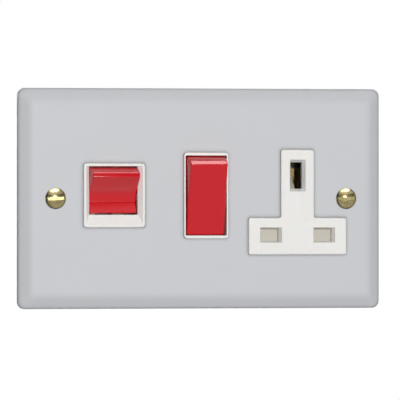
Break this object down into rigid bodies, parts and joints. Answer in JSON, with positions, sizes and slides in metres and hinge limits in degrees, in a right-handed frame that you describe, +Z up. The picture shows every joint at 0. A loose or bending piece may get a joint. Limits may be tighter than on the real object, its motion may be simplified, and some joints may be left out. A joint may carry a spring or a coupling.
{
  "type": "cooker control unit",
  "caption": "Flush two-gang cooker control unit: light grey bevelled plate, red cooker rocker in a deep white bezel, red socket rocker and a shuttered three-pin outlet.",
  "frame": {"origin": "middle of the plate on the wall plane, midway between the two fixing screws", "axes": "+Z up, +X to the right seen from the front, +Y into the wall, so the front faces -Y"},
  "size_m": [0.15, 0.0347, 0.088],
  "materials": {
    "plate_paint": "light grey satin powder coat on pressed steel",
    "white_moulding": "white glossy urea moulding",
    "base_moulding": "off-white matt moulding",
    "red_moulding": "red glossy moulding",
    "shutter_moulding": "cream-white matt moulding",
    "plunger_nylon": "natural nylon",
    "screw_brass": "polished brass plating",
    "terminal_brass": "plain brass",
    "contact_copper": "plain copper",
    "zinc_steel": "bright zinc plate",
    "spring_steel": "plain spring wire"
  },
  "bodies": {
    "frame": {"front_plate": "plate_paint", "fixing_screws": "screw_brass", "plate_studs": "zinc_steel", "stud_nuts": "zinc_steel", "base_screws": "zinc_steel", "cooker_housing": "white_moulding", "socket_housing": "white_moulding", "cooker_base": "base_moulding", "socket_base": "base_moulding", "shutter_spring": "spring_steel", "neutral_contact": "terminal_brass", "line_contact": "terminal_brass", "earth_contact": "terminal_brass", "line_strap": "contact_copper", "neutral_strap": "contact_copper", "socket_fulcrum": "terminal_brass", "line_busbar": "terminal_brass", "terminal_screws": "zinc_steel", "load_line_terminal": "terminal_brass", "load_neutral_terminal": "terminal_brass", "supply_line_terminal": "terminal_brass", "supply_neutral_terminal": "terminal_brass"},
    "cooker_rocker": {"cooker_rocker": "red_moulding", "cooker_line_spring": "spring_steel", "cooker_neutral_spring": "spring_steel"},
    "cooker_line_plunger": {"cooker_line_plunger": "plunger_nylon"},
    "cooker_neutral_plunger": {"cooker_neutral_plunger": "plunger_nylon"},
    "cooker_line_arm": {"cooker_line_arm": "contact_copper"},
    "cooker_neutral_arm": {"cooker_neutral_arm": "contact_copper"},
    "socket_rocker": {"socket_rocker": "red_moulding", "socket_plunger_spring": "spring_steel"},
    "socket_plunger": {"socket_plunger": "plunger_nylon"},
    "socket_arm": {"socket_arm": "contact_copper"},
    "shutter": {"shutter": "shutter_moulding"}
  },
  "joints": [
    {"name": "cooker_rocker_tilt", "type": "hinge", "parent": "frame", "child": "cooker_rocker", "pos_m": [-0.0361, -0.002, 0.00305], "axis": [-1, 0, 0], "range_deg": [0, 44]},
    {"name": "socket_rocker_tilt", "type": "hinge", "parent": "frame", "child": "socket_rocker", "pos_m": [0.0018, -0.0012, 0.0012], "axis": [-1, 0, 0], "range_deg": [0, 18]},
    {"name": "shutter_slide", "type": "slide", "parent": "frame", "child": "shutter", "axis": [0, 0, -1], "range_m": [0, 0.0059], "stiffness_N_per_m": 120, "springref_m": -0.003, "deforming": ["shutter_spring"]},
    {"name": "cooker_line_arm_tilt", "type": "hinge", "parent": "frame", "child": "cooker_line_arm", "pos_m": [-0.0416, 0.01112, 0.00305], "axis": [-1, 0, 0], "range_deg": [-14.2, 0.1]},
    {"name": "cooker_line_plunger_slide", "type": "slide", "parent": "cooker_rocker", "child": "cooker_line_plunger", "axis": [0, -0.9272, -0.3746], "range_m": [0, 0.001], "stiffness_N_per_m": 400, "springref_m": -0.001, "deforming": ["cooker_line_spring"]},
    {"name": "cooker_neutral_arm_tilt", "type": "hinge", "parent": "frame", "child": "cooker_neutral_arm", "pos_m": [-0.0306, 0.01112, 0.00305], "axis": [-1, 0, 0], "range_deg": [-14.2, 0.1]},
    {"name": "cooker_neutral_plunger_slide", "type": "slide", "parent": "cooker_rocker", "child": "cooker_neutral_plunger", "axis": [0, -0.9272, -0.3746], "range_m": [0, 0.001], "stiffness_N_per_m": 400, "springref_m": -0.001, "deforming": ["cooker_neutral_spring"]},
    {"name": "socket_arm_tilt", "type": "hinge", "parent": "frame", "child": "socket_arm", "pos_m": [0.0018, 0.01238, 0.0012], "axis": [-1, 0, 0], "range_deg": [-10.2, 0.1]},
    {"name": "socket_plunger_slide", "type": "slide", "parent": "socket_rocker", "child": "socket_plunger", "axis": [0, -0.9877, -0.1564], "range_m": [0, 0.001], "stiffness_N_per_m": 400, "springref_m": -0.001, "deforming": ["socket_plunger_spring"]}
  ],
  "couplings": [
    {"joint": "cooker_line_arm_tilt", "follows": "cooker_rocker_tilt", "ratio": -0.31818},
    {"joint": "cooker_neutral_arm_tilt", "follows": "cooker_rocker_tilt", "ratio": -0.31818},
    {"joint": "socket_arm_tilt", "follows": "socket_rocker_tilt", "ratio": -0.55556}
  ]
}
